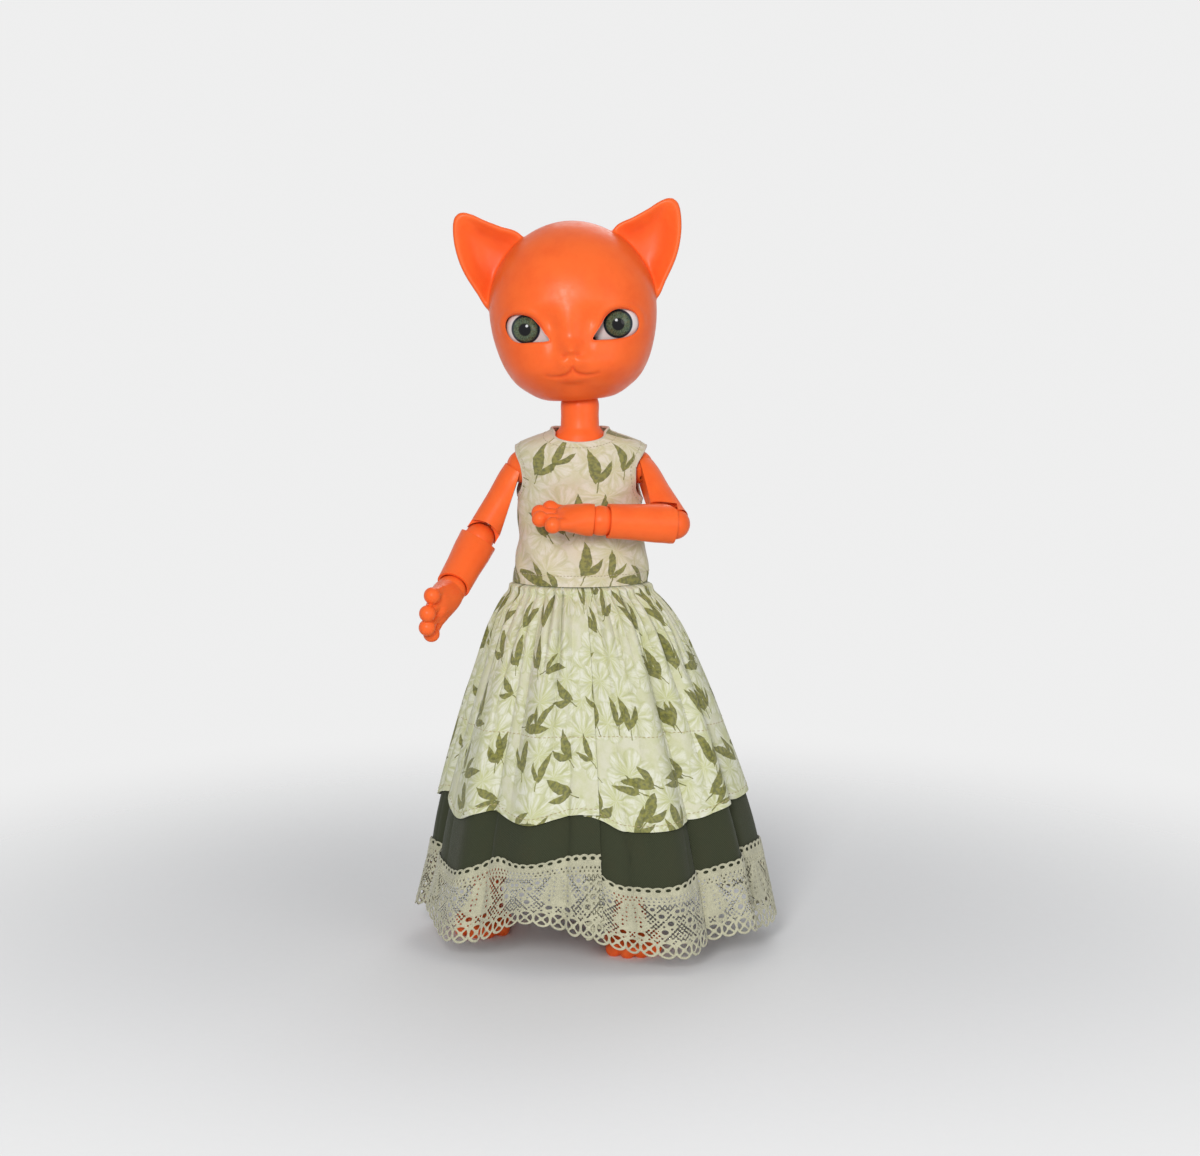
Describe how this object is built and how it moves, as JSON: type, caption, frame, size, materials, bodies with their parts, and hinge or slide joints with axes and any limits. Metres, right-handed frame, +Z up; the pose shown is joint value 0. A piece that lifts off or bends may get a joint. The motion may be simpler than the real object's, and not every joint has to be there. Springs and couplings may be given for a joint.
{
  "type": "ball jointed doll",
  "caption": "Standing cat-headed ball jointed doll of orange plastic in a sleeveless print dress with an olive underskirt and a lace hem; head, waist, arms and legs move.",
  "frame": {"origin": "on the floor under the middle of the skirt's hem", "axes": "+Z up, the doll faces -Y, +X towards its own left"},
  "size_m": [0.1182, 0.0982, 0.2457],
  "materials": {
    "orange_plastic": "satin",
    "steel": "bright wire",
    "elastic": "round braided elastic",
    "eye_glass": "gloss",
    "putty": "matt",
    "printed_cloth": "printed cotton",
    "olive_cloth": "fine twill",
    "lace_thread": "cotton lace"
  },
  "bodies": {
    "pelvis": {"pelvis": "orange_plastic", "pelvis_cord": "elastic", "overskirt_left": "printed_cloth", "overskirt_right": "printed_cloth", "underskirt_left": "olive_cloth", "underskirt_right": "olive_cloth", "lace_left": "lace_thread", "lace_right": "lace_thread"},
    "waist_ball": {"waist_ball": "orange_plastic"},
    "chest": {"chest": "orange_plastic", "torso_cord": "elastic", "shoulder_cord": "elastic", "bodice": "printed_cloth", "back_closure": "printed_cloth"},
    "neck_cord": {"neck_cord": "elastic"},
    "neck_hook": {"neck_hook": "steel"},
    "head": {"face_shell": "orange_plastic", "eyeball_left": "eye_glass", "eyeball_right": "eye_glass", "eye_putty_left": "putty", "eye_putty_right": "putty", "head_magnet": "steel"},
    "head_cap": {"head_cap": "orange_plastic", "cap_magnet": "steel"},
    "shoulder_ball_left": {"shoulder_ball_left": "orange_plastic"},
    "upper_arm_left": {"upper_arm_left": "orange_plastic", "upper_arm_cord_left": "elastic"},
    "elbow_ball_left": {"elbow_ball_left": "orange_plastic"},
    "forearm_left": {"forearm_left": "orange_plastic", "forearm_cord_left": "elastic"},
    "wrist_ball_left": {"wrist_ball_left": "orange_plastic"},
    "hand_left": {"hand_left": "orange_plastic", "hand_hook_left": "steel"},
    "hip_ball_left": {"hip_ball_left": "orange_plastic"},
    "thigh_left": {"thigh_left": "orange_plastic", "thigh_cord_left": "elastic"},
    "knee_ball_left": {"knee_ball_left": "orange_plastic"},
    "shin_left": {"shin_left": "orange_plastic", "shin_cord_left": "elastic"},
    "ankle_ball_left": {"ankle_ball_left": "orange_plastic"},
    "foot_left": {"foot_left": "orange_plastic", "foot_hook_left": "steel"},
    "shoulder_ball_right": {"shoulder_ball_right": "orange_plastic"},
    "upper_arm_right": {"upper_arm_right": "orange_plastic", "upper_arm_cord_right": "elastic"},
    "elbow_ball_right": {"elbow_ball_right": "orange_plastic"},
    "forearm_right": {"forearm_right": "orange_plastic", "forearm_cord_right": "elastic"},
    "wrist_ball_right": {"wrist_ball_right": "orange_plastic"},
    "hand_right": {"hand_right": "orange_plastic", "hand_hook_right": "steel"},
    "hip_ball_right": {"hip_ball_right": "orange_plastic"},
    "thigh_right": {"thigh_right": "orange_plastic", "thigh_cord_right": "elastic"},
    "knee_ball_right": {"knee_ball_right": "orange_plastic"},
    "shin_right": {"shin_right": "orange_plastic", "shin_cord_right": "elastic"},
    "ankle_ball_right": {"ankle_ball_right": "orange_plastic"},
    "foot_right": {"foot_right": "orange_plastic", "foot_hook_right": "steel"}
  },
  "joints": [
    {"name": "waist_turn", "type": "hinge", "parent": "pelvis", "child": "waist_ball", "pos_m": [-0.0055, 0, 0.1219], "axis": [0, 0, 1], "range_deg": [-25, 25]},
    {"name": "waist_bend", "type": "hinge", "parent": "waist_ball", "child": "chest", "pos_m": [-0.0055, 0, 0.1219], "axis": [1, 0, 0], "range_deg": [-7, 7], "deforming": ["bodice"]},
    {"name": "head_turn", "type": "hinge", "parent": "chest", "child": "neck_cord", "pos_m": [-0.0055, 0, 0.1784], "axis": [0, 0, 1], "range_deg": [-60, 60]},
    {"name": "head_tilt", "type": "hinge", "parent": "neck_cord", "child": "neck_hook", "pos_m": [-0.0055, 0, 0.1784], "axis": [0, 1, 0], "range_deg": [-6, 9]},
    {"name": "head_nod", "type": "hinge", "parent": "neck_hook", "child": "head", "pos_m": [-0.0055, 0, 0.1784], "axis": [1, 0, 0], "range_deg": [-9, 8]},
    {"name": "cap_pull", "type": "slide", "parent": "head", "child": "head_cap", "axis": [0.0097, 0.9903, -0.1388], "range_m": [0, 0.03]},
    {"name": "shoulder_swing_left", "type": "hinge", "parent": "chest", "child": "shoulder_ball_left", "pos_m": [0.013, 0, 0.1584], "axis": [1, 0, 0], "range_deg": [-55, 8]},
    {"name": "shoulder_raise_left", "type": "hinge", "parent": "shoulder_ball_left", "child": "upper_arm_left", "pos_m": [0.013, 0, 0.1584], "axis": [0, -0.6683, 0.7438], "range_deg": [-10, 45]},
    {"name": "elbow_bend_left", "type": "hinge", "parent": "elbow_ball_left", "child": "forearm_left", "pos_m": [0.02523, -0.01874, 0.14157], "axis": [-0.1807, 0.5895, -0.7873], "range_deg": [-51.6, 1.4]},
    {"name": "elbow_ball_turn_left", "type": "hinge", "parent": "upper_arm_left", "child": "elbow_ball_left", "pos_m": [0.02523, -0.01874, 0.14157], "axis": [-0.1807, 0.5895, -0.7873], "range_deg": [-51.8, 1.6]},
    {"name": "wrist_twist_left", "type": "hinge", "parent": "forearm_left", "child": "wrist_ball_left", "pos_m": [0.00132, -0.02383, 0.14324], "axis": [-0.9758, -0.2079, 0.0682], "range_deg": [-60, 60]},
    {"name": "wrist_bend_left", "type": "hinge", "parent": "wrist_ball_left", "child": "hand_left", "pos_m": [0.00132, -0.02383, 0.14324], "axis": [-0.0463, 0.9679, 0.2469], "range_deg": [-20, 20]},
    {"name": "hip_swing_left", "type": "hinge", "parent": "pelvis", "child": "hip_ball_left", "pos_m": [0.006, 0, 0.0949], "axis": [1, 0, 0], "range_deg": [-38, 42], "deforming": ["overskirt_left", "underskirt_left", "lace_left"]},
    {"name": "hip_spread_left", "type": "hinge", "parent": "hip_ball_left", "child": "thigh_left", "pos_m": [0.006, 0, 0.0949], "axis": [0, -1, 0], "range_deg": [-1, 16.5]},
    {"name": "knee_bend_left", "type": "hinge", "parent": "knee_ball_left", "child": "shin_left", "pos_m": [0.00843, -0.01611, 0.05511], "axis": [0.9981, 0, 0.061], "range_deg": [-16.6, 23.4]},
    {"name": "knee_ball_turn_left", "type": "hinge", "parent": "thigh_left", "child": "knee_ball_left", "pos_m": [0.00843, -0.01611, 0.05511], "axis": [0.9981, 0, 0.061], "range_deg": [-16.8, 23.6]},
    {"name": "ankle_twist_left", "type": "hinge", "parent": "shin_left", "child": "ankle_ball_left", "pos_m": [0.01101, -0.00777, 0.013], "axis": [0.0599, 0.1939, -0.9792], "range_deg": [-25, 25]},
    {"name": "ankle_flex_left", "type": "hinge", "parent": "ankle_ball_left", "child": "foot_left", "pos_m": [0.01101, -0.00777, 0.013], "axis": [1, 0, 0], "range_deg": [-15, 15]},
    {"name": "shoulder_swing_right", "type": "hinge", "parent": "chest", "child": "shoulder_ball_right", "pos_m": [-0.024, 0, 0.1584], "axis": [1, 0, 0], "range_deg": [-80, 20]},
    {"name": "shoulder_raise_right", "type": "hinge", "parent": "shoulder_ball_right", "child": "upper_arm_right", "pos_m": [-0.024, 0, 0.1584], "axis": [0, 0.9981, -0.0617], "range_deg": [-10, 45]},
    {"name": "elbow_bend_right", "type": "hinge", "parent": "elbow_ball_right", "child": "forearm_right", "pos_m": [-0.03882, -0.00146, 0.13469], "axis": [-0.8465, -0.0355, 0.5312], "range_deg": [-18.5, 34.5]},
    {"name": "elbow_ball_turn_right", "type": "hinge", "parent": "upper_arm_right", "child": "elbow_ball_right", "pos_m": [-0.03882, -0.00146, 0.13469], "axis": [-0.8465, -0.0355, 0.5312], "range_deg": [-18.7, 34.7]},
    {"name": "wrist_twist_right", "type": "hinge", "parent": "forearm_right", "child": "wrist_ball_right", "pos_m": [-0.04733, -0.01909, 0.11995], "axis": [-0.3473, -0.7193, -0.6016], "range_deg": [-60, 60]},
    {"name": "wrist_bend_right", "type": "hinge", "parent": "wrist_ball_right", "child": "hand_right", "pos_m": [-0.04733, -0.01909, 0.11995], "axis": [0.0579, -0.4124, 0.9091], "range_deg": [-20, 20]},
    {"name": "hip_swing_right", "type": "hinge", "parent": "pelvis", "child": "hip_ball_right", "pos_m": [-0.017, 0, 0.0949], "axis": [1, 0, 0], "range_deg": [-70, 10], "deforming": ["overskirt_right", "underskirt_right", "lace_right"]},
    {"name": "hip_spread_right", "type": "hinge", "parent": "hip_ball_right", "child": "thigh_right", "pos_m": [-0.017, 0, 0.0949], "axis": [0, 1, 0], "range_deg": [-11.5, 6]},
    {"name": "knee_bend_right", "type": "hinge", "parent": "knee_ball_right", "child": "shin_right", "pos_m": [-0.02724, 0.00747, 0.05381], "axis": [0.9703, 0, -0.2419], "range_deg": [-1, 39]},
    {"name": "knee_ball_turn_right", "type": "hinge", "parent": "thigh_right", "child": "knee_ball_right", "pos_m": [-0.02724, 0.00747, 0.05381], "axis": [0.9703, 0, -0.2419], "range_deg": [-1.2, 39.2]},
    {"name": "ankle_twist_right", "type": "hinge", "parent": "shin_right", "child": "ankle_ball_right", "pos_m": [-0.03742, 0.01641, 0.013], "axis": [-0.2366, 0.2079, -0.9491], "range_deg": [-25, 25]},
    {"name": "ankle_flex_right", "type": "hinge", "parent": "ankle_ball_right", "child": "foot_right", "pos_m": [-0.03742, 0.01641, 0.013], "axis": [1, 0, 0], "range_deg": [-15, 15]}
  ],
  "couplings": [
    {"joint": "elbow_ball_turn_left", "follows": "elbow_bend_left", "ratio": 1},
    {"joint": "knee_ball_turn_left", "follows": "knee_bend_left", "ratio": 1},
    {"joint": "elbow_ball_turn_right", "follows": "elbow_bend_right", "ratio": 1},
    {"joint": "knee_ball_turn_right", "follows": "knee_bend_right", "ratio": 1}
  ]
}
